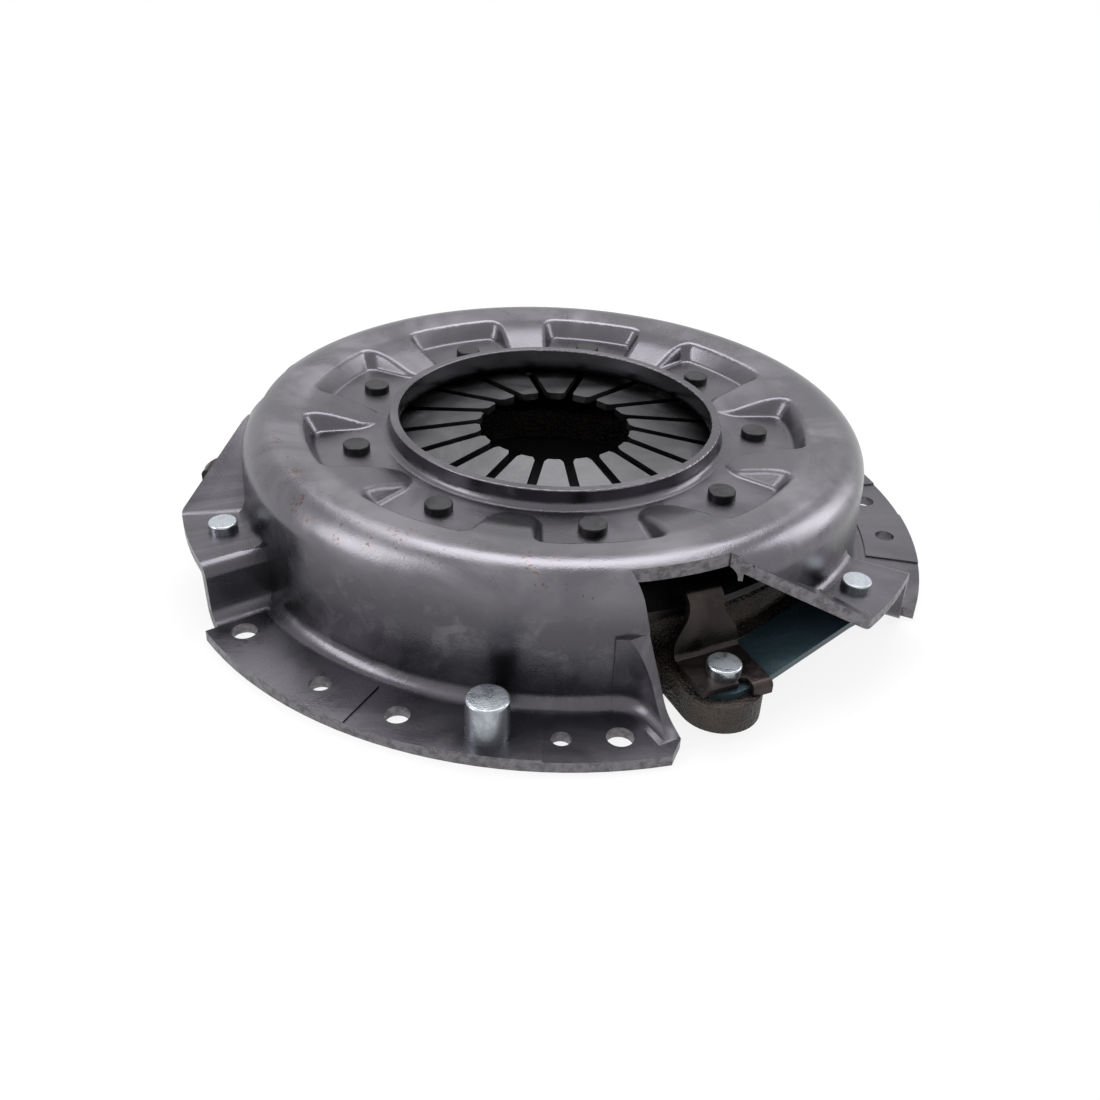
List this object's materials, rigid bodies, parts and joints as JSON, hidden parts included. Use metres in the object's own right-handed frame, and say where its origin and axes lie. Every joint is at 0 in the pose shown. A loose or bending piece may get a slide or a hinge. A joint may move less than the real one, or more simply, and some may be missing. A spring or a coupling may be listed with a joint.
{
  "type": "clutch pressure plate",
  "caption": "Clutch cover assembly: pressed steel cover with a fingered diaphragm spring, pivot rings and rivets, and a cast pressure plate held by leaf straps and clips.",
  "frame": {"origin": "on the axis of rotation, in the plane of the mounting flange's underside (the flywheel's face)", "axes": "+Z along the axis of rotation, from the flywheel towards the spring fingers and the release bearing; +X through the middle hole of one of the three mounting flanges"},
  "size_m": [0.2771, 0.283, 0.0505],
  "materials": {
    "cover_steel": "satin, oiled pressing",
    "spring_steel": "satin, shot blasted",
    "wire_steel": "satin",
    "rivet_black": "blackened",
    "rivet_zinc": "zinc plated",
    "plate_iron": "rough casting with a ground friction face",
    "strap_steel": "tempered spring strip",
    "clip_steel": "brown tempered strip"
  },
  "bodies": {
    "cover_body": {"clutch_cover": "cover_steel", "diaphragm_spring": "spring_steel", "pivot_ring_upper": "wire_steel", "pivot_ring_lower": "wire_steel", "fulcrum_rivets": "rivet_black", "ear_rivets": "rivet_zinc", "balance_weight": "rivet_zinc", "drive_strap_1_leaf_1": "strap_steel", "drive_strap_1_leaf_2": "strap_steel", "drive_strap_1_leaf_3": "strap_steel", "drive_strap_2_leaf_1": "strap_steel", "drive_strap_2_leaf_2": "strap_steel", "drive_strap_2_leaf_3": "strap_steel", "drive_strap_3_leaf_1": "strap_steel", "drive_strap_3_leaf_2": "strap_steel", "drive_strap_3_leaf_3": "strap_steel"},
    "plate_body": {"pressure_plate": "plate_iron", "lug_rivets": "rivet_zinc", "retracting_clip_1": "clip_steel", "retracting_clip_2": "clip_steel", "retracting_clip_3": "clip_steel"}
  },
  "joints": [
    {"name": "plate_lift", "type": "slide", "parent": "cover_body", "child": "plate_body", "axis": [0, 0, 1], "range_m": [0, 0.003], "stiffness_N_per_m": 20000, "deforming": ["diaphragm_spring", "drive_strap_1_leaf_1", "drive_strap_1_leaf_2", "drive_strap_1_leaf_3", "drive_strap_2_leaf_1", "drive_strap_2_leaf_2", "drive_strap_2_leaf_3", "drive_strap_3_leaf_1", "drive_strap_3_leaf_2", "drive_strap_3_leaf_3"]}
  ]
}
